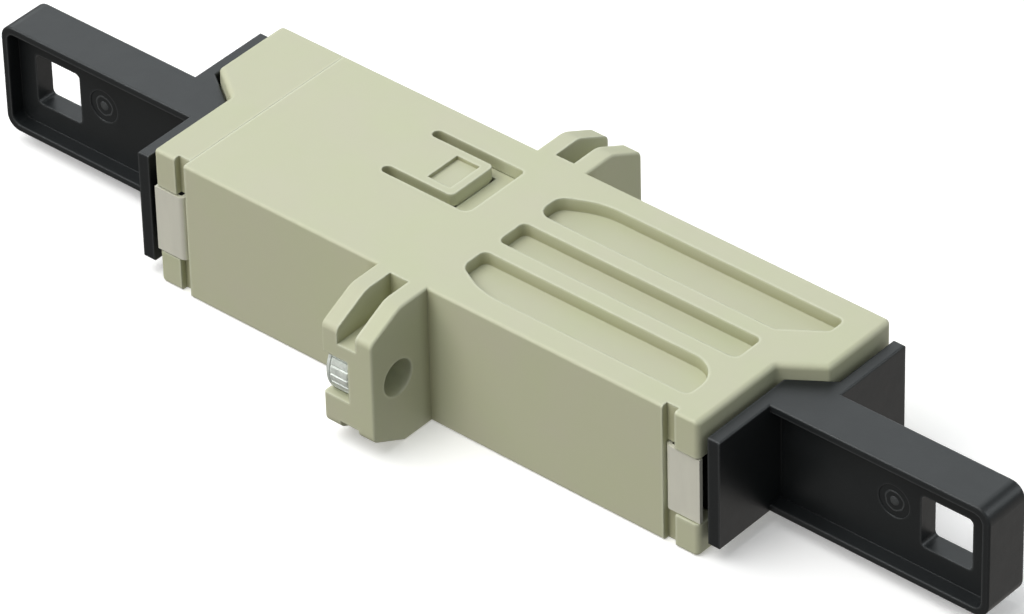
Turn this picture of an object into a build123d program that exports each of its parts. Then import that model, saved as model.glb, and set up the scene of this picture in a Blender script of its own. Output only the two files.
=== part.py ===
from build123d import *
import math
import os

# Simplex fibre adapter of the LSH kind (IEC 61754-15), with a dust plug in each mouth.
# X runs along the adapter, Y across it, Z up. The origin is the middle of the underside.
# Pieces that come in pairs are drawn for the right-hand mouth (+X) and mirrored to the left.

# Housing, outside
body_width = 13.0
body_height = 8.8
near_end = 18.9
far_end = 21.2
step_near_y = -0.15
step_far_y = 1.45
seam_x = 16.55
edge_round = 0.18
mouth_round = 0.32

# Housing and insert walls
side_wall = 1.3
deck_wall = 1.5
left_side_skin = 0.75
left_deck_skin = 0.8
insert_clearance = 0.05
shoulder_x = 0.5
shoulder_thickness = 1.7
barrel_clearance = 0.15

# Lip groove on the near side and notch in both sides of each mouth
lip_groove_width = 0.8
lip_groove_depth = 0.4
head_inset = 0.15
notch_height = 4.34
notch_z = 4.25

# Mounting flange
hole_from_side = 2.5
hole_to_tip = 2.0
flange_left_x = -2.8
flange_right_x = 0.67
flange_plate = 1.1
flange_corner_y = 2.4
flange_corner_z = 1.2
flange_top_round = 1.6
flange_tip_round = 0.5
flange_edge_round = 0.15
slot_start_gap = 0.2
slot_top_depth = 2.13
slot_bottom_depth = 1.55
screw_hole_radius = 1.1

# Threaded insert of each flange hole
thread_insert_radius = 1.95
thread_insert_length = 1.65
thread_insert_recess = 0.12
thread_bore_radius = 0.8
thread_insert_clearance = 0.01
collar_length = 0.24
collar_chamfer = 0.08
collar_line_width = 0.08
inner_chamfer = 0.2
knurl_grooves = 24
knurl_depth = 0.07
insert_window_height = 2.7

# Snap tongue, one on the top and one on the underside
tongue_root_x = -8.15
tongue_tip_x = -3.6
tongue_near_y = 0.42
tongue_width = 3.45
tongue_slot_width = 0.65
tongue_window_end_x = -1.97
tongue_window_near_round = 0.5
tongue_window_far_round = 0.3
tongue_corner_round = 0.35
tongue_hook_depth = 0.4
tongue_hook_length = 1.3
tongue_hook_flat = 0.25
tongue_hook_inset = 0.4
tongue_dimple_length = 1.6
tongue_dimple_width = 2.4
tongue_dimple_from_tip = 0.55
tongue_dimple_depth = 0.25
snap_clearance = 0.05

# Grip grooves on the deck of the one-piece mouth
grip_depth = 0.8
grip_start_x = 0.88
grip_end_x = 17.0
grip_inner_y = 2.13
grip_outer_y = 4.96
grip_mid_half_width = 1.06
grip_slope_x = 2.15
grip_slope_y = 1.08
grip_slope_round = 5.0
grip_start_round = 0.8
grip_end_corner = 1.85
grip_small_round = 0.4
grip_far_end_x = 19.33
grip_far_end_y = 3.78

# Split sleeve and its two holders
ferrule_radius = 1.25
sleeve_wall = 0.35
sleeve_length = 11.4
sleeve_slit = 0.4
sleeve_clearance = 0.1
ferrule_clearance = 0.2
holder_plate_clearance = 0.1
barrel_wall = 0.6
barrel_lip = 0.9
barrel_lead_in = 0.25
peg_radius = 0.5
peg_length = 0.35
peg_clearance = 0.05
peg_y = 4.0

# Sheet metal shutter in each mouth
sheet = 0.25
frame_clearance = 0.03
hinge_x = 12.6
hinge_drop = 0.7
pin_radius = 0.35
pin_end_gap = 0.03
pin_seat_clearance = 0.01
pin_running_clearance = 0.05
knuckle_length = 3.0
flap_side_gap = 0.15
flap_floor_gap = 0.15
flap_shoulder_drop = 1.0
stop_gap = 0.05
stop_height = 0.5
floor_strip_length = 2.6
cheek_start = 0.9
cheek_strip_start = 1.4
tab_height = 4.15
tab_gap_right = 0.05
tab_gap_left = 0.35
tab_inset = 0.1
tab_bend_round = 0.2

# Torsion spring on each shutter pin
wire_radius = 0.09
coil_gap = 0.08
coil_turns = 4.25
coil_pitch = 0.24
spring_leg_reach = 1.0
spring_leg_drop = 2.2

# Dust plug
plug_height = 7.0
wing_half_width = 6.2
wing_thickness = 0.77
wing_gap = 0.38
left_plug_shift = 0.17
plug_nose_inner_x = 13.8
nose_clearance = 0.06
nose_wall = 0.9
plug_edge_round = 0.12
handle_end = 34.2
handle_thickness = 3.0
handle_near_y = -2.1
handle_web = 1.2
handle_rim = 0.45
handle_corner = 0.9
handle_pocket_round = 0.35
window_size = 3.3
window_from_end = 1.7
window_round = 0.3
ejector_mark_radius = 1.0
ejector_mark_depth = 0.05
ejector_mark_from_end = 6.77
ejector_mark_rise = 0.35

# Sizes that follow from the ones above
half_width = body_width / 2
mid_z = body_height / 2
mouth_half_y = half_width - side_wall
floor_z = deck_wall
ceiling_z = body_height - deck_wall
flange_x_length = flange_right_x - flange_left_x
hole_y = half_width + hole_from_side
flange_tip = hole_y + hole_to_tip
hinge_z = ceiling_z - hinge_drop
bore_half_y = half_width - left_side_skin
bore_floor_z = left_deck_skin
bore_ceiling_z = body_height - left_deck_skin
sleeve_radius = ferrule_radius + sleeve_wall
barrel_bore_radius = sleeve_radius + sleeve_clearance
barrel_radius = barrel_bore_radius + barrel_wall
barrel_end = sleeve_length / 2 + sleeve_clearance + barrel_lip
knuckle_radius = pin_radius + pin_running_clearance + sheet
cheek_outer_y = mouth_half_y - frame_clearance
cheek_inner_y = cheek_outer_y - sheet
frame_floor_z = floor_z + frame_clearance
flap_face_x = hinge_x - knuckle_radius + sheet
tab_outer_y = half_width - tab_inset
handle_far_y = handle_near_y + handle_thickness
web_near_y = handle_near_y + (handle_thickness - handle_web) / 2
web_far_y = web_near_y + handle_web
near_wing_outer = near_end + wing_gap + wing_thickness
far_wing_outer = far_end + wing_gap + wing_thickness
nose_half_y = cheek_inner_y - nose_clearance
nose_half_z = mid_z - (frame_floor_z + sheet + nose_clearance)
over = 0.5


def block(x0, x1, y0, y1, z0, z1):
    """A box between two corners."""
    box = Box(x1 - x0, y1 - y0, z1 - z0)
    return Pos((x0 + x1) / 2, (y0 + y1) / 2, (z0 + z1) / 2) * box


def prism(points, z0, z1):
    """A plan outline, pulled up from one height to another."""
    face = make_face(Polyline(*points, close=True))
    return Pos(0, 0, z0) * extrude(face, z1 - z0)


def rod(x0, x1, y, z, radius):
    """A round bar along X."""
    return Pos((x0 + x1) / 2, y, z) * Rot(0, 90, 0) * Cylinder(radius, x1 - x0)


def cross_rod(y0, y1, x, z, radius):
    """A round bar along Y."""
    return Pos(x, (y0 + y1) / 2, z) * Rot(90, 0, 0) * Cylinder(radius, y1 - y0)


def other_side(shape):
    """The same piece in the left-hand mouth."""
    return mirror(shape, about=Plane.YZ)


def flipped(shape):
    """The same cut on the underside."""
    return mirror(shape, about=Plane.XY.offset(mid_z))


def stepped_block(start_x, near_y):
    """A full-height block whose end is stepped back on the near side."""
    points = [
        (start_x, near_y),
        (near_end, near_y),
        (near_end, step_near_y),
        (far_end, step_far_y),
        (far_end, half_width),
        (start_x, half_width),
    ]
    solid = prism(points, 0, body_height)
    solid = fillet(solid.edges().filter_by(Axis.X), edge_round)
    mouth_edges = [edge for edge in solid.edges() if edge.center().X > near_end - edge_round]
    return fillet(mouth_edges, mouth_round)


def mouth_cuts(near_y, inner_x):
    """Plug opening, the notches in both sides and the lip groove on the near side."""
    opening = block(inner_x, far_end + over, -mouth_half_y, mouth_half_y, floor_z, ceiling_z)
    notch_z0 = notch_z - notch_height / 2
    outside_y = half_width + over
    notch = block(seam_x, far_end + over, -outside_y, outside_y, notch_z0, notch_z0 + notch_height)
    groove_x = seam_x + lip_groove_width
    groove = block(seam_x, groove_x, -outside_y, near_y + lip_groove_depth, -over, body_height + over)
    return opening + notch + groove


# Housing

def flange_ear():
    """The far ear: two plates bridged in the middle, with screw hole and insert pocket."""
    tip = flange_tip
    corner_y = tip - flange_corner_y
    top_corner_z = body_height - flange_corner_z
    root_y = half_width - over
    outline = Polyline(
        (root_y, 0),
        (corner_y, 0),
        (tip, flange_corner_z),
        (tip, top_corner_z),
        (corner_y, body_height),
        (root_y, body_height),
        close=True,
    )
    face = make_face(outline)
    top_corner = face.vertices().sort_by_distance((corner_y, body_height))[0]
    face = fillet(top_corner, flange_top_round)
    tips = face.vertices().group_by(Axis.X)[-1]
    face = fillet(tips, flange_tip_round)
    ear = Plane.YZ.offset(flange_left_x) * extrude(face, flange_x_length)
    ends = ear.faces().sort_by(Axis.X)
    rims = ends[0].edges() + ends[-1].edges()
    rims = [edge for edge in rims if edge.center().Y > half_width]
    ear = fillet(rims, flange_edge_round)
    slot_x0 = flange_left_x + flange_plate
    slot_x1 = flange_right_x - flange_plate
    slot_y = half_width + slot_start_gap
    top_slot = block(slot_x0, slot_x1, slot_y, tip + over, body_height - slot_top_depth, body_height + over)
    bottom_slot = block(slot_x0, slot_x1, slot_y, tip + over, -over, slot_bottom_depth)
    pocket_end = flange_left_x + thread_insert_recess + thread_insert_length
    pocket = rod(flange_left_x - over, pocket_end, hole_y, mid_z, thread_insert_radius)
    half_window = insert_window_height / 2
    window = block(
        flange_left_x - over, pocket_end, hole_y, tip + over, mid_z - half_window, mid_z + half_window
    )
    screw_hole = rod(flange_left_x, flange_right_x + over, hole_y, mid_z, screw_hole_radius)
    return ear - top_slot - bottom_slot - pocket - window - screw_hole


def tongue_corners(cut):
    """The two upright edges of the cut that shape the corners of the tongue's free end."""
    middle_y = tongue_near_y + tongue_width / 2
    upright = [edge for edge in cut.edges().filter_by(Axis.Z) if abs(edge.center().X - tongue_tip_x) < 0.01]
    return [edge for edge in upright if abs(edge.center().Y - middle_y) < tongue_width / 2 + 0.01]


def tongue_cut():
    """Everything cut round the snap tongue of the top deck."""
    near_slot_y = tongue_near_y - tongue_slot_width
    far_y = tongue_near_y + tongue_width
    far_slot_y = far_y + tongue_slot_width
    slot_round = tongue_slot_width / 2
    z0 = bore_ceiling_z - over
    z1 = body_height + over
    cut = block(tongue_tip_x, tongue_window_end_x, near_slot_y, far_slot_y, z0, z1)
    window_ends = cut.edges().filter_by(Axis.Z).group_by(Axis.X)[-1].sort_by(Axis.Y)
    cut = fillet(window_ends[0], tongue_window_near_round)
    window_ends = cut.edges().filter_by(Axis.Z).group_by(Axis.X)[-1].sort_by(Axis.Y)
    cut = fillet(window_ends[-1], tongue_window_far_round)
    for slot_y in (near_slot_y, far_y):
        cut += block(
            tongue_root_x + slot_round, tongue_tip_x + slot_round, slot_y, slot_y + tongue_slot_width, z0, z1
        )
        end = Pos(tongue_root_x + slot_round, slot_y + slot_round, (z0 + z1) / 2)
        cut += end * Cylinder(slot_round, z1 - z0)
    cut = fillet(tongue_corners(cut), tongue_corner_round)
    dimple_x1 = tongue_tip_x - tongue_dimple_from_tip
    dimple_y = tongue_near_y + (tongue_width - tongue_dimple_width) / 2
    cut += block(
        dimple_x1 - tongue_dimple_length,
        dimple_x1,
        dimple_y,
        dimple_y + tongue_dimple_width,
        body_height - tongue_dimple_depth,
        z1,
    )
    return cut


def tongue_hook():
    """The catch under the tongue's free end, ramped where the insert lifts it."""
    root_z = bore_ceiling_z
    tip_z = root_z - tongue_hook_depth
    profile = make_face(
        Polyline(
            (tongue_tip_x - tongue_hook_length, root_z),
            (tongue_tip_x - tongue_hook_flat, tip_z),
            (tongue_tip_x, tip_z),
            (tongue_tip_x, root_z),
            close=True,
        )
    )
    hook_y = tongue_near_y + tongue_hook_inset
    return Plane.XZ.offset(-hook_y) * extrude(profile, 2 * tongue_hook_inset - tongue_width)


def grip_groove(points, corner_radii):
    """One shallow groove in the deck, its corners rounded one by one."""
    face = make_face(Polyline(*points, close=True))
    for point, radius in zip(points, corner_radii):
        corner = face.vertices().sort_by_distance(point)[0]
        face = fillet(corner, radius)
    return Pos(0, 0, body_height - grip_depth) * extrude(face, grip_depth + over)


def grip_grooves():
    """Near, middle and far groove; the far one follows the step of the mouth."""
    x0 = grip_start_x
    x1 = grip_end_x
    y0 = grip_inner_y
    y1 = grip_outer_y
    slope_end = x0 + grip_slope_x
    slope_start = y1 - grip_slope_y
    small = grip_small_round
    near = grip_groove(
        [(x0, -slope_start), (slope_end, -y1), (x1, -y1), (x1, -y0), (x0, -y0)],
        [grip_start_round, grip_slope_round, small, grip_end_corner, small],
    )
    mid_y = grip_mid_half_width
    mid = grip_groove([(x0, -mid_y), (x1, -mid_y), (x1, mid_y), (x0, mid_y)], [small] * 4)
    end = (grip_far_end_x, grip_far_end_y)
    far = grip_groove(
        [(x0, y0), (x1, y0), end, (grip_far_end_x, y1), (slope_end, y1), (x0, slope_start)],
        [grip_start_round, small, small, small, grip_slope_round, grip_start_round],
    )
    return near + mid + far


def make_housing():
    body = stepped_block(-seam_x, -half_width)
    far_ear = flange_ear()
    body += far_ear + mirror(far_ear, about=Plane.XZ)
    body -= mouth_cuts(-half_width, shoulder_x + shoulder_thickness)
    body -= block(-seam_x - over, shoulder_x, -bore_half_y, bore_half_y, bore_floor_z, bore_ceiling_z)
    body -= rod(0, shoulder_x + shoulder_thickness + over, 0, mid_z, barrel_radius + barrel_clearance)
    for cut in (tongue_cut(), grip_grooves()):
        body -= cut
        body -= flipped(cut)
    hook = tongue_hook()
    return body + hook + flipped(hook)


# Mouth insert: carries the left-hand mouth and is snapped into the housing

def make_mouth_insert():
    near_y = head_inset - half_width
    head = stepped_block(seam_x, near_y)
    inner_x = shoulder_x + insert_clearance
    body_half_y = bore_half_y - insert_clearance
    z0 = bore_floor_z + insert_clearance
    z1 = bore_ceiling_z - insert_clearance
    body = block(inner_x, seam_x + edge_round, -body_half_y, body_half_y, z0, z1)
    insert = head + body - mouth_cuts(near_y, shoulder_x + shoulder_thickness)
    insert -= rod(0, shoulder_x + shoulder_thickness + over, 0, mid_z, barrel_radius + barrel_clearance)
    snap = block(
        -tongue_tip_x - snap_clearance,
        -tongue_tip_x + tongue_hook_length + snap_clearance,
        tongue_near_y - snap_clearance,
        tongue_near_y + tongue_width + snap_clearance,
        ceiling_z - over,
        body_height,
    )
    insert -= snap
    insert -= flipped(snap)
    return other_side(insert)


# Split sleeve and its holders

def make_split_sleeve():
    sleeve = Rot(0, 90, 0) * (Cylinder(sleeve_radius, sleeve_length) - Cylinder(ferrule_radius, sleeve_length))
    slit = block(-sleeve_length, sleeve_length, -sleeve_slit / 2, sleeve_slit / 2, 0, sleeve_radius + over)
    return Pos(0, 0, mid_z) * (sleeve - slit)


def make_sleeve_holder():
    """One of two equal halves: a plate against the shoulder and a barrel for half the sleeve."""
    half_y = bore_half_y - holder_plate_clearance
    z0 = bore_floor_z + holder_plate_clearance
    z1 = bore_ceiling_z - holder_plate_clearance
    holder = block(0, shoulder_x, -half_y, half_y, z0, z1)
    holder += rod(0, barrel_end, 0, mid_z, barrel_radius)
    end_rim = holder.faces().sort_by(Axis.X)[-1].edges()
    holder = chamfer(end_rim, barrel_lead_in)
    holder -= rod(-over, barrel_end - barrel_lip, 0, mid_z, barrel_bore_radius)
    holder -= rod(0, barrel_end + over, 0, mid_z, ferrule_radius + ferrule_clearance)
    mouth = Pos(barrel_end - barrel_lead_in / 2, 0, mid_z) * Rot(0, 90, 0)
    lead_in_radius = ferrule_radius + ferrule_clearance
    holder -= mouth * Cone(lead_in_radius, lead_in_radius + barrel_lead_in, barrel_lead_in)
    holder += rod(-peg_length, 0, peg_y, mid_z, peg_radius)
    socket_depth = peg_length + peg_clearance
    holder -= rod(-over, socket_depth, -peg_y, mid_z, peg_radius + peg_clearance)
    return holder


# Shutter: a folded frame, a hinged flap, its pin and its spring

def frame_cheek(side, tab_gap):
    """One side of the frame, with the tab that fills the notch in the mouth's side wall."""
    inner_x = hinge_x - cheek_start
    strip_x = hinge_x + cheek_strip_start
    cheek = block(inner_x, strip_x, cheek_inner_y, cheek_outer_y, frame_floor_z, ceiling_z - frame_clearance)
    upper = cheek.edges().filter_by(Axis.Y).group_by(Axis.Z)[-1]
    cheek = fillet(upper, knuckle_radius)
    mid_sheet = sheet / 2
    bend_x = seam_x + tab_gap + mid_sheet
    path = FilletPolyline(
        (inner_x + sheet, cheek_outer_y - mid_sheet),
        (bend_x, cheek_outer_y - mid_sheet),
        (bend_x, tab_outer_y - mid_sheet),
        (near_end, tab_outer_y - mid_sheet),
        radius=tab_bend_round,
    )
    strip = Pos(0, 0, notch_z - tab_height / 2) * extrude(trace(path, line_width=sheet), tab_height)
    cheek += strip
    cheek -= cross_rod(0, half_width, hinge_x, hinge_z, pin_radius + pin_seat_clearance)
    return cheek if side > 0 else mirror(cheek, about=Plane.XZ)


def make_shutter_frame(tab_gap):
    frame = frame_cheek(1, tab_gap) + frame_cheek(-1, tab_gap)
    stop_x = flap_face_x + stop_gap
    strip_top = frame_floor_z + sheet
    frame += block(
        stop_x, stop_x + floor_strip_length, -cheek_outer_y, cheek_outer_y, frame_floor_z, strip_top
    )
    stop_half_y = cheek_inner_y - knuckle_length / 2
    frame += block(stop_x, stop_x + sheet, -stop_half_y, stop_half_y, frame_floor_z, strip_top + stop_height)
    return frame


def make_shutter_flap():
    half_y = cheek_inner_y - flap_side_gap
    knuckle_inner_y = half_y - knuckle_length
    flap = block(flap_face_x - sheet, flap_face_x, -half_y, half_y, floor_z + flap_floor_gap, hinge_z)
    lower = flap.edges().filter_by(Axis.X).group_by(Axis.Z)[0]
    flap = fillet(lower, sheet)
    flap += cross_rod(-half_y, half_y, hinge_x, hinge_z, knuckle_radius)
    flap -= cross_rod(-half_y - over, half_y + over, hinge_x, hinge_z, pin_radius + pin_running_clearance)
    gap_floor = hinge_z - flap_shoulder_drop
    return flap - block(0, far_end, -knuckle_inner_y, knuckle_inner_y, gap_floor, body_height)


def make_shutter_pin():
    half_y = mouth_half_y - pin_end_gap
    pin = cross_rod(-half_y, half_y, hinge_x, hinge_z, pin_radius)
    return chamfer(pin.edges().filter_by(GeomType.CIRCLE), pin_radius / 4)


def make_shutter_spring():
    """Torsion spring: coil round the pin, one leg on the deck, one on the flap."""
    coil_radius = pin_radius + coil_gap + wire_radius
    length = coil_turns * coil_pitch
    helix = Helix(pitch=coil_pitch, height=length, radius=coil_radius)
    coil = Pos(hinge_x, -length / 2, hinge_z) * Rot(0, 180, 0) * Rot(-90, 0, 0) * helix
    start = coil @ 0
    end = coil @ 1
    leg_x = flap_face_x - sheet - wire_radius - stop_gap
    knee_z = hinge_z - flap_shoulder_drop
    first_drop = start.Z - knee_z - (start.X - leg_x)
    shin = start - (coil % 0) * first_drop
    flap_leg = FilletPolyline(
        start,
        shin,
        (leg_x, shin.Y, knee_z),
        (leg_x, shin.Y, start.Z - spring_leg_drop),
        radius=wire_radius * 2,
    )
    deck_leg = Line(end, end + (coil % 1) * spring_leg_reach)
    path = Wire(flap_leg.edges() + coil.edges() + deck_leg.edges())
    wire = Plane(origin=path @ 0, z_dir=path % 0) * Circle(wire_radius)
    return sweep(wire, path=path)


# Threaded insert

def make_thread_insert():
    """Brass insert in the far ear: a plain collar, a fine line and a knurled band."""
    x0 = flange_left_x + thread_insert_recess
    x1 = x0 + thread_insert_length
    radius = thread_insert_radius - thread_insert_clearance
    body = rod(x0, x1, hole_y, mid_z, radius)
    rims = body.edges().filter_by(GeomType.CIRCLE).sort_by(Axis.X)
    body = chamfer(rims[0], collar_chamfer)
    rims = body.edges().filter_by(GeomType.CIRCLE).sort_by(Axis.X)
    body = chamfer(rims[-1], inner_chamfer)
    line_x = x0 + collar_length
    knurl_x = line_x + collar_line_width
    line = rod(line_x, knurl_x, hole_y, mid_z, radius + over)
    body -= line - rod(line_x, knurl_x, hole_y, mid_z, radius - knurl_depth)
    for index in range(knurl_grooves):
        angle = 2 * math.pi * index / knurl_grooves
        y = hole_y + radius * math.cos(angle)
        z = mid_z + radius * math.sin(angle)
        body -= rod(knurl_x, x1 + over, y, z, knurl_depth)
    return body - rod(x0 - over, x1 + over, hole_y, mid_z, thread_bore_radius)


# Dust plug: wings outside the mouth, a hollow nose inside it and a ribbed handle

def plug_wings():
    near_face = near_end + wing_gap
    far_face = far_end + wing_gap
    lean = wing_gap * (step_far_y - step_near_y) / (far_end - near_end)
    points = [
        (near_face, -wing_half_width),
        (near_wing_outer, -wing_half_width),
        (near_wing_outer, handle_near_y),
        (handle_end, handle_near_y),
        (handle_end, handle_far_y),
        (far_wing_outer, handle_far_y),
        (far_wing_outer, wing_half_width),
        (far_face, wing_half_width),
        (far_face, step_far_y + lean),
        (near_face, step_near_y + lean),
    ]
    z0 = mid_z - plug_height / 2
    wings = prism(points, z0, z0 + plug_height)
    outer = wings.edges().filter_by(Axis.Y).group_by(Axis.X)[-1]
    wings = fillet(outer, handle_corner)
    rims = [edge for edge in wings.edges() if edge.center().X > near_wing_outer - wing_thickness / 2]
    rims = [edge for edge in rims if abs(edge.center().Z - mid_z) > plug_height / 4]
    return fillet(rims, plug_edge_round)


def plug_nose():
    """Plan of the nose, hollow from its inner end."""
    root_near = near_end + wing_gap + wing_thickness / 2
    root_far = far_end + wing_gap + wing_thickness / 2
    points = [
        (plug_nose_inner_x, -nose_half_y),
        (root_near, -nose_half_y),
        (root_near, step_near_y),
        (root_far, step_far_y + wing_thickness),
        (root_far, nose_half_y),
        (plug_nose_inner_x, nose_half_y),
    ]
    nose = prism(points, mid_z - nose_half_z, mid_z + nose_half_z)
    nose = fillet(nose.edges().group_by(Axis.X)[0], edge_round)
    hollow_y = nose_half_y - nose_wall
    hollow_z = nose_half_z - nose_wall
    hollow = block(plug_nose_inner_x - over, near_end, -hollow_y, hollow_y, mid_z - hollow_z, mid_z + hollow_z)
    return nose - hollow


def handle_pocket(x0, y0, y1):
    """The recess that leaves a rim round one side of the handle."""
    half_z = plug_height / 2 - handle_rim
    pocket = block(x0, handle_end - handle_rim, y0, y1, mid_z - half_z, mid_z + half_z)
    corners = pocket.edges().filter_by(Axis.Y).group_by(Axis.X)[-1]
    return fillet(corners, handle_pocket_round + handle_rim / 2)


def make_dust_plug():
    plug = plug_wings() + plug_nose()
    plug -= handle_pocket(near_wing_outer, handle_near_y - over, web_near_y)
    plug -= handle_pocket(far_wing_outer, web_far_y, handle_far_y + over)
    window_x1 = handle_end - window_from_end
    half_window = window_size / 2
    window = block(
        window_x1 - window_size,
        window_x1,
        handle_near_y,
        handle_far_y,
        mid_z - half_window,
        mid_z + half_window,
    )
    plug -= fillet(window.edges().filter_by(Axis.Y), window_round)
    mark_x = handle_end - ejector_mark_from_end
    mark_y = web_near_y + ejector_mark_depth
    mark_z = mid_z + ejector_mark_rise
    return plug - cross_rod(handle_near_y, mark_y, mark_x, mark_z, ejector_mark_radius)


def write(name, shape):
    solids = shape.solids()
    print(f"{name}: {len(solids)} solid, {shape.volume:.2f} mm3")
    export_step(shape, f"parts/{name}.step")


def write_pair(name, right):
    write(name + "_right", right)
    write(name + "_left", other_side(right))


thread_insert = make_thread_insert()
holder = make_sleeve_holder()
dust_plug = make_dust_plug()

write("housing", make_housing())
write("mouth_insert", make_mouth_insert())
write("split_sleeve", make_split_sleeve())
write("sleeve_holder_right", holder)
write("sleeve_holder_left", Rot(0, 0, 180) * holder)
write("shutter_frame_right", make_shutter_frame(tab_gap_right))
write("shutter_frame_left", other_side(make_shutter_frame(tab_gap_left)))
write_pair("shutter_flap", make_shutter_flap())
write_pair("shutter_pin", make_shutter_pin())
write_pair("shutter_spring", make_shutter_spring())
write("dust_plug_right", dust_plug)
write("dust_plug_left", Pos(-left_plug_shift, 0, 0) * other_side(dust_plug))
write("threaded_insert_far", thread_insert)
write("threaded_insert_near", mirror(thread_insert, about=Plane.XZ))
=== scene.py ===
import math

import bmesh
import bpy
from mathutils import Matrix, Vector


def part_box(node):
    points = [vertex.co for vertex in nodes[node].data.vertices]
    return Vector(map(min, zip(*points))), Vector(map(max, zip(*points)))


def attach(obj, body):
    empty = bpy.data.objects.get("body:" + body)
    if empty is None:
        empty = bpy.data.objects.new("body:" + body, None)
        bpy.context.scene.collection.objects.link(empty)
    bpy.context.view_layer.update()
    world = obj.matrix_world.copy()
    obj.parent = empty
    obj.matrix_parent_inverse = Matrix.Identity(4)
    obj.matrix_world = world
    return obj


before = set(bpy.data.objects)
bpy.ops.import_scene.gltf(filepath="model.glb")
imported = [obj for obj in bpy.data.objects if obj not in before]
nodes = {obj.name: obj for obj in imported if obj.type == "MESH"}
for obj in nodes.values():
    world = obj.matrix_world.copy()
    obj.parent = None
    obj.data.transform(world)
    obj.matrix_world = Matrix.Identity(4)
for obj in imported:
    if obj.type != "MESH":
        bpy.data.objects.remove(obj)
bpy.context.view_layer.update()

MM = 0.001

# Camera, as the photograph was taken: a long lens from the near right, with a small roll
CAMERA_AZIMUTH = math.radians(41.43)
CAMERA_ELEVATION = math.radians(37.25)
CAMERA_ROLL = math.radians(-1.57)
CAMERA_RIGHT = 0.53 * MM
CAMERA_UP = 2.69 * MM
CAMERA_DISTANCE = 389.5 * MM
FOCAL_PIXELS = 7295.4
FRAME_WIDTH = 1024
SENSOR_WIDTH = 36.0

# Light colours
WARM = (1.0, 0.93, 0.85)
NEUTRAL = (1.0, 0.97, 0.93)
DAYLIGHT = (1.0, 0.99, 0.975)
COOL = (0.93, 0.98, 1.0)

# Studio room: a dim ceiling, and below the table's edge dark in front and brighter behind
ROOM_CEILING = 0.35
ROOM_LOW_FRONT = 0.25
ROOM_LOW_BACK = 0.75
ROOM_LOW_TINT = (1.0, 0.968, 0.93)
ROOM_BACKWARDS = (0.3, 0.95, 0.0)
ROOM_BACK_BAND = (0.3, 0.8)
ROOM_HORIZON_BAND = (-0.08, 0.08)

# Softboxes: direction, distance and side in metres, watts, colour, and what each one lights
ALL, MATT_ONLY, GLOSS_ONLY = "all", "matt", "gloss"
SOFTBOXES = {
    "key": ((-0.28, -0.34, 0.90), 0.80, 0.70, 5.55, DAYLIGHT, ALL),
    "fill": ((-0.25, -0.95, 0.16), 0.80, 0.50, 1.6, WARM, MATT_ONLY),
    "back": ((0.30, 0.95, 0.16), 0.80, 0.50, 1.3, NEUTRAL, MATT_ONLY),
    "side": ((-0.95, 0.25, 0.16), 0.80, 0.50, 1.2, NEUTRAL, MATT_ONLY),
    "card": ((-0.53, 0.60, 0.60), 0.35, 0.34, 0.65, COOL, GLOSS_ONLY),
    "rim_front": ((-0.53, -0.60, 0.60), 0.60, 0.30, 1.6, COOL, GLOSS_ONLY),
    "rim_right": ((0.60, 0.60, 0.53), 0.60, 0.30, 1.0, COOL, GLOSS_ONLY),
}

# Floor
FLOOR_REACH = 3.0
FLOOR_DROP = 0.02 * MM
FLOOR_GLOW = 0.25

# Thread in the inserts, in millimetres
THREAD_BORE_RADIUS = 0.8
THREAD_SUNK = 0.02
THREAD_HEIGHT = 0.13
THREAD_PITCH = 0.4
THREAD_ROOT_SHARE = 0.84
THREAD_CREST_SHARE = 0.16
THREAD_END_GAP = 0.12
THREAD_STEPS = 40
THREAD_FADE_TURNS = 1 / 3

# Gate mark on the near side of each plug, in millimetres: radius and rise from rim to middle
GATE_MARK_FROM_END = 6.77
GATE_MARK_RISE = 0.35
GATE_MARK_Y = -1.15
GATE_MARK_SIDES = 48
GATE_MARK_PROFILE = (
    (0.66, -0.02), (0.64, 0.0), (0.60, 0.012), (0.54, 0.0), (0.50, -0.008),
    (0.30, -0.008), (0.24, 0.025), (0.15, 0.05), (0.05, 0.055),
)
SMOOTH_ANGLE = math.radians(40)

# Colours of the finishes
BEIGE_WARM = (0.531, 0.533, 0.39)
BEIGE_GREEN = (0.523, 0.545, 0.372)
# Painted highlight: the lighter colour laid on the beige's outer edges
BEIGE_PAINTED_HIGHLIGHT = (0.68, 0.70, 0.54)
# Painted shade: the darker colour laid on the walls of the beige's recesses
BEIGE_PAINTED_SHADE = (0.365, 0.362, 0.215)
CHARCOAL = (0.0135, 0.0155, 0.0165)
# Painted highlight on the charcoal's outer edges, partly edge wear
CHARCOAL_PAINTED_HIGHLIGHT = (0.06, 0.065, 0.067)
HOLDER_BEIGE = (0.58, 0.6, 0.45)
CERAMIC_WHITE = (0.84, 0.84, 0.80)
SHEET_STEEL = (0.81, 0.805, 0.70)
WIRE_STEEL = (0.6, 0.6, 0.6)
NICKEL_DULL = (0.57, 0.61, 0.565)
NICKEL_BRIGHT = (0.76, 0.81, 0.755)
# Painted highlight on the knurl edges of the inserts
NICKEL_PAINTED_HIGHLIGHT = (0.9, 0.93, 0.9)


# Camera, light and floor

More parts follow.
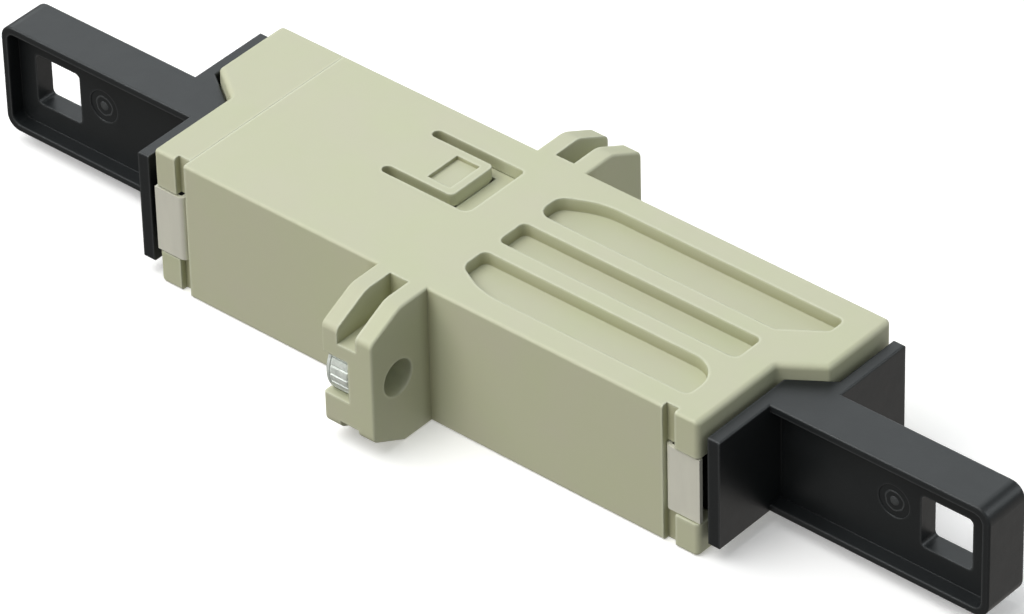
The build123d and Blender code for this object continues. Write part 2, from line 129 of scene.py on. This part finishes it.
def add_camera():
    az, el = CAMERA_AZIMUTH, CAMERA_ELEVATION
    back = Vector((math.sin(az) * math.cos(el), -math.cos(az) * math.cos(el), math.sin(el)))
    right = (-back).cross(Vector((0, 0, 1))).normalized()
    up = right.cross(-back)
    c, s = math.cos(CAMERA_ROLL), math.sin(CAMERA_ROLL)
    rolled_right = right * c + up * s
    rolled_up = up * c - right * s
    place = rolled_right * CAMERA_RIGHT + rolled_up * CAMERA_UP + back * CAMERA_DISTANCE
    data = bpy.data.cameras.new("camera")
    data.sensor_width = SENSOR_WIDTH
    data.lens = FOCAL_PIXELS / FRAME_WIDTH * SENSOR_WIDTH
    data.clip_start = 0.01
    data.clip_end = 10
    camera = bpy.data.objects.new("camera", data)
    bpy.context.collection.objects.link(camera)
    turn = Matrix((rolled_right, rolled_up, back)).transposed().to_4x4()
    camera.matrix_world = Matrix.Translation(place) @ turn
    bpy.context.scene.camera = camera


def add_softbox(name, direction, distance, size, watts, colour, lights):
    """A square area light that faces the adapter from the given direction."""
    data = bpy.data.lights.new(name, "AREA")
    data.shape = "SQUARE"
    data.size = size
    data.energy = watts
    data.color = colour
    light = bpy.data.objects.new(name, data)
    bpy.context.collection.objects.link(light)
    away = Vector(direction).normalized()
    light.location = away * distance
    light.rotation_euler = (-away).to_track_quat("-Z", "Y").to_euler()
    light.visible_glossy = lights != MATT_ONLY
    light.visible_diffuse = lights != GLOSS_ONLY


def add_world():
    world = bpy.data.worlds.new("studio")
    bpy.context.scene.world = world
    world.use_nodes = True
    tree = world.node_tree
    coords = tree.nodes.new("ShaderNodeTexCoord")

    def band(value, limits, low, high):
        node = tree.nodes.new("ShaderNodeMapRange")
        node.inputs["From Min"].default_value, node.inputs["From Max"].default_value = limits
        node.inputs["To Min"].default_value = low
        node.inputs["To Max"].default_value = high
        tree.links.new(value, node.inputs["Value"])
        return node.outputs["Result"]

    backwards = tree.nodes.new("ShaderNodeVectorMath")
    backwards.operation = "DOT_PRODUCT"
    backwards.inputs[1].default_value = ROOM_BACKWARDS
    tree.links.new(coords.outputs["Generated"], backwards.inputs[0])
    low_level = band(backwards.outputs["Value"], ROOM_BACK_BAND, ROOM_LOW_FRONT, ROOM_LOW_BACK)
    axes = tree.nodes.new("ShaderNodeSeparateXYZ")
    tree.links.new(coords.outputs["Generated"], axes.inputs["Vector"])
    above = band(axes.outputs["Z"], ROOM_HORIZON_BAND, 0.0, 1.0)
    level = tree.nodes.new("ShaderNodeMix")
    tree.links.new(above, level.inputs["Factor"])
    tree.links.new(low_level, level.inputs["A"])
    level.inputs["B"].default_value = ROOM_CEILING
    tint = tree.nodes.new("ShaderNodeMix")
    tint.data_type = "RGBA"
    tree.links.new(above, tint.inputs["Factor"])
    tint.inputs["A"].default_value = (*ROOM_LOW_TINT, 1)
    tint.inputs["B"].default_value = (*COOL, 1)
    background = tree.nodes["Background"]
    tree.links.new(level.outputs["Result"], background.inputs["Strength"])
    tree.links.new(tint.outputs["Result"], background.inputs["Color"])


def add_floor():
    """A white floor just under the part; faces of the part reflect the room instead of it."""
    mesh = bpy.data.meshes.new("floor")
    reach = FLOOR_REACH
    corners = [(-reach, -reach, 0), (reach, -reach, 0), (reach, reach, 0), (-reach, reach, 0)]
    mesh.from_pydata(corners, [], [(0, 1, 2, 3)])
    floor = bpy.data.objects.new("floor", mesh)
    bpy.context.collection.objects.link(floor)
    floor.location.z = -FLOOR_DROP
    floor.visible_glossy = False
    floor.visible_diffuse = False
    material = bpy.data.materials.new("floor_white")
    material.use_nodes = True
    shader = material.node_tree.nodes["Principled BSDF"]
    shader.inputs["Base Color"].default_value = (0.95, 0.95, 0.95, 1)
    shader.inputs["Roughness"].default_value = 0.9
    shader.inputs["Emission Color"].default_value = (1, 1, 1, 1)
    shader.inputs["Emission Strength"].default_value = FLOOR_GLOW
    mesh.materials.append(material)


# Materials

class Surface:
    """A node material on one Principled shader, in metres of object space."""

    def __init__(self, name):
        self.material = bpy.data.materials.new(name)
        self.material.use_nodes = True
        self.tree = self.material.node_tree
        self.shader = self.tree.nodes["Principled BSDF"]
        self.coords = self.tree.nodes.new("ShaderNodeTexCoord")

    def set(self, **values):
        """Constant shader inputs, with _ for each space in a socket's name."""
        for key, value in values.items():
            self.shader.inputs[key.replace("_", " ")].default_value = value

    def colour(self, value):
        self.tree.links.new(value, self.shader.inputs["Base Color"])

    def roughness(self, value):
        self.tree.links.new(value, self.shader.inputs["Roughness"])

    def noise(self, per_mm, detail=3.0, stretch=(1, 1, 1)):
        mapping = self.tree.nodes.new("ShaderNodeMapping")
        mapping.inputs["Scale"].default_value = stretch
        self.tree.links.new(self.coords.outputs["Object"], mapping.inputs["Vector"])
        node = self.tree.nodes.new("ShaderNodeTexNoise")
        node.inputs["Scale"].default_value = per_mm / MM
        node.inputs["Detail"].default_value = detail
        node.inputs["Roughness"].default_value = 0.55
        self.tree.links.new(mapping.outputs["Vector"], node.inputs["Vector"])
        return node.outputs["Fac"]

    def blend(self, value, stops):
        """Colours at positions along a value: stops of (position, colour)."""
        node = self.tree.nodes.new("ShaderNodeValToRGB")
        for element, (position, colour) in zip(node.color_ramp.elements, stops):
            element.position = position
            element.color = (*colour, 1)
        self.tree.links.new(value, node.inputs["Fac"])
        return node.outputs["Color"]

    def shades(self, value, base, spread):
        """One colour, from a share darker to the same share lighter."""
        darker = tuple(c * (1 - spread) for c in base)
        lighter = tuple(c * (1 + spread) for c in base)
        return self.blend(value, [(0.3, darker), (0.7, lighter)])

    def spread(self, value, low, high):
        node = self.tree.nodes.new("ShaderNodeMapRange")
        node.inputs["To Min"].default_value = low
        node.inputs["To Max"].default_value = high
        self.tree.links.new(value, node.inputs["Value"])
        return node.outputs["Result"]

    def corners(self, reach_mm, inside):
        """0 on open faces, rising to 1 at outer edges (inside) or in recesses (not inside)."""
        node = self.tree.nodes.new("ShaderNodeAmbientOcclusion")
        node.inside = inside
        node.only_local = True
        node.samples = 4
        node.inputs["Distance"].default_value = reach_mm * MM
        mask = self.tree.nodes.new("ShaderNodeMapRange")
        mask.inputs["From Min"].default_value = 0.97
        mask.inputs["From Max"].default_value = 0.45
        self.tree.links.new(node.outputs["AO"], mask.inputs["Value"])
        return mask.outputs["Result"]

    def on_walls(self, mask):
        """The mask kept on steep faces and taken off level ones."""
        axes = self.tree.nodes.new("ShaderNodeSeparateXYZ")
        self.tree.links.new(self.coords.outputs["Normal"], axes.inputs["Vector"])
        upright = self.tree.nodes.new("ShaderNodeMath")
        upright.operation = "ABSOLUTE"
        self.tree.links.new(axes.outputs["Z"], upright.inputs[0])
        steep = self.tree.nodes.new("ShaderNodeMapRange")
        steep.inputs["From Min"].default_value = 1.0
        steep.inputs["From Max"].default_value = 0.8
        self.tree.links.new(upright.outputs["Value"], steep.inputs["Value"])
        kept = self.tree.nodes.new("ShaderNodeMath")
        kept.operation = "MULTIPLY"
        self.tree.links.new(mask, kept.inputs[0])
        self.tree.links.new(steep.outputs["Result"], kept.inputs[1])
        return kept.outputs["Value"]

    def cover(self, base, mask, colour):
        """The base output, turning to a colour where the mask is 1."""
        node = self.tree.nodes.new("ShaderNodeMix")
        node.data_type = "RGBA"
        self.tree.links.new(mask, node.inputs["Factor"])
        self.tree.links.new(base, node.inputs["A"])
        node.inputs["B"].default_value = (*colour, 1)
        return node.outputs["Result"]

    def bump(self, layers, edge_mm=0.0):
        """layers: (height output, depth in mm), coarsest first, over edges softened by edge_mm."""
        normal = None
        if edge_mm:
            edges = self.tree.nodes.new("ShaderNodeBevel")
            edges.samples = 4
            edges.inputs["Radius"].default_value = edge_mm * MM
            normal = edges.outputs["Normal"]
        for height, depth in layers:
            node = self.tree.nodes.new("ShaderNodeBump")
            node.inputs["Strength"].default_value = 1.0
            node.inputs["Distance"].default_value = depth * MM
            self.tree.links.new(height, node.inputs["Height"])
            if normal is not None:
                self.tree.links.new(normal, node.inputs["Normal"])
            normal = node.outputs["Normal"]
        self.tree.links.new(normal, self.shader.inputs["Normal"])


def beige_plastic():
    """Moulded beige-green: faint mottling, a painted highlight on the outer edges and painted shade on
    the walls in the recesses.
    """
    surface = Surface("housing_beige")
    surface.set(Specular_IOR_Level=0.3)
    body = surface.blend(surface.noise(0.22, 3), [(0.3, BEIGE_WARM), (0.7, BEIGE_GREEN)])
    # Painted highlight: the outer edges turned lighter
    with_painted_highlight = surface.cover(body, surface.corners(0.18, inside=True), BEIGE_PAINTED_HIGHLIGHT)
    # Painted shade: walls in the recesses turned darker where ambient occlusion finds them
    recesses = surface.on_walls(surface.corners(0.8, inside=False))
    surface.colour(surface.cover(with_painted_highlight, recesses, BEIGE_PAINTED_SHADE))
    surface.roughness(surface.spread(surface.noise(0.8, 3), 0.46, 0.58))
    surface.bump([(surface.noise(1.2, 2), 0.006), (surface.noise(14, 3), 0.004)], edge_mm=0.14)
    return surface.material


def charcoal_plastic():
    """Satin charcoal moulding with its outer edges a little lighter: painted highlight, partly edge wear.
    """
    surface = Surface("plug_charcoal")
    surface.set(Specular_IOR_Level=0.28)
    body = surface.shades(surface.noise(0.5, 3), CHARCOAL, 0.08)
    # Painted highlight on the outer edges, partly edge wear
    surface.colour(surface.cover(body, surface.corners(0.14, inside=True), CHARCOAL_PAINTED_HIGHLIGHT))
    surface.roughness(surface.spread(surface.noise(1.1, 4), 0.3, 0.42))
    surface.bump([(surface.noise(0.9, 2), 0.01), (surface.noise(18, 3), 0.005)], edge_mm=0.08)
    return surface.material


def holder_plastic():
    surface = Surface("holder_beige")
    surface.colour(surface.shades(surface.noise(0.6, 2), HOLDER_BEIGE, 0.03))
    surface.roughness(surface.spread(surface.noise(2, 3), 0.4, 0.55))
    surface.bump([(surface.noise(16, 3), 0.003)])
    return surface.material


def zirconia():
    """Polished ceramic with fine grinding lines round its axis."""
    surface = Surface("sleeve_zirconia")
    surface.set(Specular_IOR_Level=0.7, Coat_Weight=0.4, Coat_Roughness=0.08)
    surface.colour(surface.shades(surface.noise(1.0, 2), CERAMIC_WHITE, 0.015))
    surface.roughness(surface.spread(surface.noise(3, 2), 0.1, 0.18))
    surface.bump([(surface.noise(6, 2, (0.1, 1, 1)), 0.001)])
    return surface.material


def steel_sheet():
    """Satin sheet with its rolling lines upright."""
    surface = Surface("shutter_sheet")
    surface.set(Metallic=0.35)
    surface.colour(surface.shades(surface.noise(1.2, 3, (1, 1, 0.2)), SHEET_STEEL, 0.03))
    surface.roughness(surface.spread(surface.noise(3, 4, (1, 1, 0.15)), 0.4, 0.55))
    surface.bump([(surface.noise(9, 3, (0.15, 0.15, 1)), 0.003)])
    return surface.material


def spring_wire():
    surface = Surface("spring_wire")
    surface.set(Metallic=1.0)
    surface.colour(surface.shades(surface.noise(4, 2), WIRE_STEEL, 0.05))
    surface.roughness(surface.spread(surface.noise(12, 3), 0.25, 0.4))
    surface.bump([(surface.noise(30, 2), 0.001)])
    return surface.material


def nickel_plate():
    """Dull plated metal in blotches, with a painted highlight along the knurl edges."""
    surface = Surface("insert_nickel")
    surface.set(Metallic=0.3, Specular_IOR_Level=0.6)
    body = surface.blend(surface.noise(2.6, 4), [(0.35, NICKEL_DULL), (0.65, NICKEL_BRIGHT)])
    # Painted highlight: the knurl edges turned brighter
    surface.colour(surface.cover(body, surface.corners(0.08, inside=True), NICKEL_PAINTED_HIGHLIGHT))
    surface.roughness(surface.spread(surface.noise(7, 4), 0.42, 0.68))
    surface.bump([(surface.noise(5, 3), 0.008), (surface.noise(22, 2), 0.003)], edge_mm=0.05)
    return surface.material


# Pieces the CAD leaves to the scene

def ring_of(mesh, points_mm):
    return [mesh.verts.new(Vector(point) * MM) for point in points_mm]


def add_piece(name, mesh, rings, body, material):
    """A closed mesh over rings of vertices, capped at both ends, on a body."""
    count = len(rings[0])
    for one, two in zip(rings, rings[1:]):
        for i in range(count):
            j = (i + 1) % count
            mesh.faces.new((one[i], one[j], two[j], two[i]))
    mesh.faces.new(rings[0])
    mesh.faces.new(rings[-1])
    bmesh.ops.recalc_face_normals(mesh, faces=mesh.faces)
    for face in mesh.faces:
        face.smooth = True
    for edge in mesh.edges:
        edge.smooth = edge.calc_face_angle() < SMOOTH_ANGLE
    data = bpy.data.meshes.new(name)
    mesh.to_mesh(data)
    mesh.free()
    data.materials.append(material)
    piece = bpy.data.objects.new(name, data)
    bpy.context.collection.objects.link(piece)
    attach(piece, body)


def add_thread(name, insert, material):
    """A helical ridge that stands in the insert's bore and runs out at both ends."""
    low, high = (Vector(corner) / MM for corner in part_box(insert))
    centre = (low + high) / 2
    root = THREAD_BORE_RADIUS + THREAD_SUNK
    lowest = THREAD_BORE_RADIUS + THREAD_SUNK / 2
    half_root = THREAD_PITCH * THREAD_ROOT_SHARE / 2
    half_crest = THREAD_PITCH * THREAD_CREST_SHARE / 2
    start = low.x + THREAD_END_GAP + half_root
    length = high.x - THREAD_END_GAP - half_root - start
    steps = round(length / THREAD_PITCH * THREAD_STEPS)
    mesh = bmesh.new()
    rings = []
    for i in range(steps + 1):
        turns = i / THREAD_STEPS
        left = min(i, steps - i) / THREAD_STEPS
        crest = lowest - (THREAD_HEIGHT + THREAD_SUNK / 2) * min(1.0, left / THREAD_FADE_TURNS)
        angle = 2 * math.pi * turns
        outline = ((-half_root, root), (-half_crest, crest), (half_crest, crest), (half_root, root))
        rings.append(ring_of(mesh, (
            (
                start + THREAD_PITCH * turns + shift,
                centre.y + radius * math.cos(angle),
                centre.z + radius * math.sin(angle),
            )
            for shift, radius in outline
        )))
    add_piece(name, mesh, rings, "housing", material)


def add_gate_mark(name, plug, side, material):
    """The low ring and pip in the round mark on a plug's near side; side is 1 right, -1 left."""
    low, high = (Vector(corner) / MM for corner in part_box(plug))
    end = high.x if side > 0 else low.x
    centre = Vector((end - side * GATE_MARK_FROM_END, GATE_MARK_Y, (low.z + high.z) / 2 + GATE_MARK_RISE))
    mesh = bmesh.new()
    rings = []
    for radius, rise in GATE_MARK_PROFILE:
        points = []
        for i in range(GATE_MARK_SIDES):
            angle = 2 * math.pi * i / GATE_MARK_SIDES
            uneven = radius * (1 + 0.03 * math.sin(3 * angle + 1) + 0.02 * math.sin(7 * angle))
            points.append(centre + Vector((uneven * math.cos(angle), -rise, uneven * math.sin(angle))))
        rings.append(ring_of(mesh, points))
    add_piece(name, mesh, rings, plug, material)


def dress(names, material):
    """Gives CAD nodes their finish; the node's own mesh stays as it is."""
    for name in names:
        for slot in nodes[name].material_slots:
            slot.link = "OBJECT"
            slot.material = material


def both(name):
    return [name + "_right", name + "_left"]


def dress_all():
    charcoal = charcoal_plastic()
    nickel = nickel_plate()
    wire = spring_wire()
    steel = steel_sheet()
    dress(["housing", "mouth_insert"], beige_plastic())
    dress(both("sleeve_holder"), holder_plastic())
    dress(["split_sleeve"], zirconia())
    dress(both("shutter_frame") + both("shutter_flap"), steel)
    dress(both("shutter_pin") + both("shutter_spring"), wire)
    dress(both("dust_plug"), charcoal)
    dress(["threaded_insert_near", "threaded_insert_far"], nickel)
    add_gate_mark("gate_mark_right", "dust_plug_right", 1, charcoal)
    add_gate_mark("gate_mark_left", "dust_plug_left", -1, charcoal)
    add_thread("insert_thread_near", "threaded_insert_near", nickel)
    add_thread("insert_thread_far", "threaded_insert_far", nickel)


bpy.context.scene.view_settings.view_transform = "Standard"
add_camera()
add_world()
for softbox, settings in SOFTBOXES.items():
    add_softbox(softbox, *settings)
add_floor()
dress_all()
